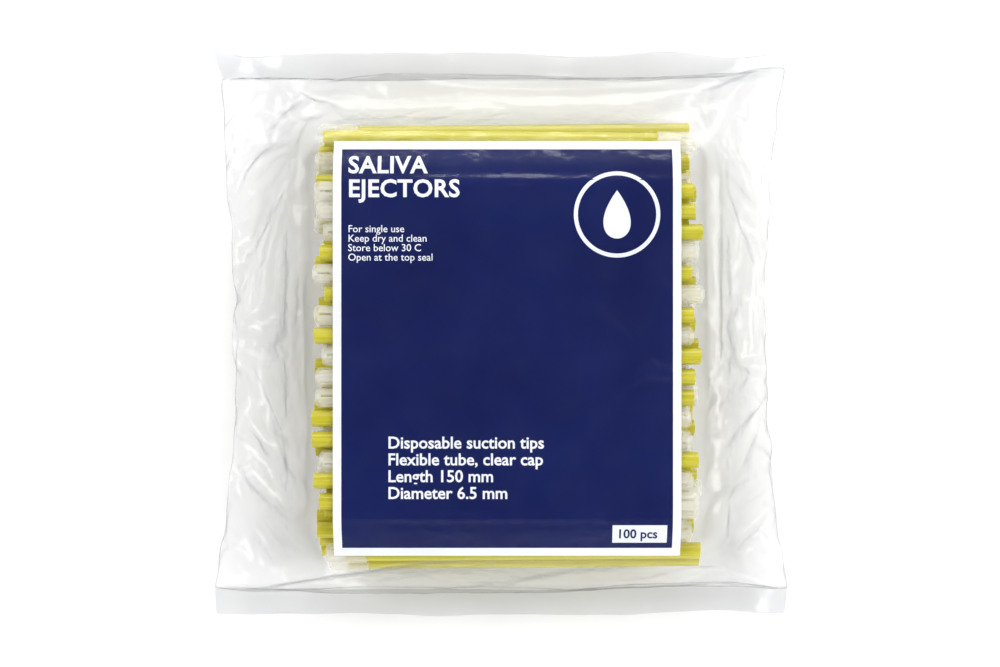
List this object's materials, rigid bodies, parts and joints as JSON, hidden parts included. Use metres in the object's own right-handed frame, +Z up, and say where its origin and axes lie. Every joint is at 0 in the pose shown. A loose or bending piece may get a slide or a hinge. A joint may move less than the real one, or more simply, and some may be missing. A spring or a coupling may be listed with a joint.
{
  "type": "saliva ejector tip pack",
  "caption": "Sealed clear film pack of disposable saliva ejectors: capped flexible suction tubes in nested rows under a printed card, lying on its back.",
  "frame": {"origin": "centre of the bag's box, on the surface that its back lies on", "axes": "+X along the ejectors, towards the right of the printed card; +Y towards the pack's top edge; +Z up, out of the card's printed face"},
  "size_m": [0.235, 0.23, 0.0367],
  "materials": {
    "film": "gloss",
    "tube": "gloss",
    "wire": "satin",
    "cap": "gloss",
    "card": "satin"
  },
  "bodies": {
    "bag": {"bag_front_film": "film", "bag_back_film": "film"},
    "ejector_01": {"ejector_01_tube": "tube", "ejector_01_wire": "wire", "ejector_01_cap": "cap"},
    "ejector_02": {"ejector_02_tube": "tube", "ejector_02_wire": "wire", "ejector_02_cap": "cap"},
    "ejector_03": {"ejector_03_tube": "tube", "ejector_03_wire": "wire", "ejector_03_cap": "cap"},
    "ejector_04": {"ejector_04_tube": "tube", "ejector_04_wire": "wire", "ejector_04_cap": "cap"},
    "ejector_05": {"ejector_05_tube": "tube", "ejector_05_wire": "wire", "ejector_05_cap": "cap"},
    "ejector_06": {"ejector_06_tube": "tube", "ejector_06_wire": "wire", "ejector_06_cap": "cap"},
    "ejector_07": {"ejector_07_tube": "tube", "ejector_07_wire": "wire", "ejector_07_cap": "cap"},
    "ejector_08": {"ejector_08_tube": "tube", "ejector_08_wire": "wire", "ejector_08_cap": "cap"},
    "ejector_09": {"ejector_09_tube": "tube", "ejector_09_wire": "wire", "ejector_09_cap": "cap"},
    "ejector_10": {"ejector_10_tube": "tube", "ejector_10_wire": "wire", "ejector_10_cap": "cap"},
    "ejector_11": {"ejector_11_tube": "tube", "ejector_11_wire": "wire", "ejector_11_cap": "cap"},
    "ejector_12": {"ejector_12_tube": "tube", "ejector_12_wire": "wire", "ejector_12_cap": "cap"},
    "ejector_13": {"ejector_13_tube": "tube", "ejector_13_wire": "wire", "ejector_13_cap": "cap"},
    "ejector_14": {"ejector_14_tube": "tube", "ejector_14_wire": "wire", "ejector_14_cap": "cap"},
    "ejector_15": {"ejector_15_tube": "tube", "ejector_15_wire": "wire", "ejector_15_cap": "cap"},
    "ejector_16": {"ejector_16_tube": "tube", "ejector_16_wire": "wire", "ejector_16_cap": "cap"},
    "inner_ejectors": {"inner_tubes": "tube", "inner_wires": "wire", "inner_caps": "cap"},
    "label_card": {"label_card": "card"}
  },
  "joints": [
    {"name": "ejector_01_slide", "type": "slide", "parent": "bag", "child": "ejector_01", "axis": [1, 0, 0], "range_m": [-0.005, 0.005]},
    {"name": "ejector_02_slide", "type": "slide", "parent": "bag", "child": "ejector_02", "axis": [1, 0, 0], "range_m": [-0.005, 0.005]},
    {"name": "ejector_03_slide", "type": "slide", "parent": "bag", "child": "ejector_03", "axis": [1, 0, 0], "range_m": [-0.005, 0.005]},
    {"name": "ejector_04_slide", "type": "slide", "parent": "bag", "child": "ejector_04", "axis": [1, 0, 0], "range_m": [-0.005, 0.005]},
    {"name": "ejector_05_slide", "type": "slide", "parent": "bag", "child": "ejector_05", "axis": [1, 0, 0], "range_m": [-0.005, 0.005]},
    {"name": "ejector_06_slide", "type": "slide", "parent": "bag", "child": "ejector_06", "axis": [1, 0, 0], "range_m": [-0.005, 0.005]},
    {"name": "ejector_07_slide", "type": "slide", "parent": "bag", "child": "ejector_07", "axis": [1, 0, 0], "range_m": [-0.005, 0.005]},
    {"name": "ejector_08_slide", "type": "slide", "parent": "bag", "child": "ejector_08", "axis": [1, 0, 0], "range_m": [-0.005, 0.005]},
    {"name": "ejector_09_slide", "type": "slide", "parent": "bag", "child": "ejector_09", "axis": [1, 0, 0], "range_m": [-0.005, 0.005]},
    {"name": "ejector_10_slide", "type": "slide", "parent": "bag", "child": "ejector_10", "axis": [1, 0, 0], "range_m": [-0.005, 0.005]},
    {"name": "ejector_11_slide", "type": "slide", "parent": "bag", "child": "ejector_11", "axis": [1, 0, 0], "range_m": [-0.005, 0.005]},
    {"name": "ejector_12_slide", "type": "slide", "parent": "bag", "child": "ejector_12", "axis": [1, 0, 0], "range_m": [-0.005, 0.005]},
    {"name": "ejector_13_slide", "type": "slide", "parent": "bag", "child": "ejector_13", "axis": [1, 0, 0], "range_m": [-0.005, 0.005]},
    {"name": "ejector_14_slide", "type": "slide", "parent": "bag", "child": "ejector_14", "axis": [1, 0, 0], "range_m": [-0.005, 0.005]},
    {"name": "ejector_15_slide", "type": "slide", "parent": "bag", "child": "ejector_15", "axis": [1, 0, 0], "range_m": [-0.005, 0.005]},
    {"name": "ejector_16_slide", "type": "slide", "parent": "bag", "child": "ejector_16", "axis": [1, 0, 0], "range_m": [-0.005, 0.005]},
    {"name": "inner_ejectors_slide", "type": "slide", "parent": "bag", "child": "inner_ejectors", "axis": [1, 0, 0], "range_m": [-0.005, 0.005]},
    {"name": "label_card_slide", "type": "slide", "parent": "bag", "child": "label_card", "axis": [1, 0, 0], "range_m": [-0.004, 0.004]}
  ]
}
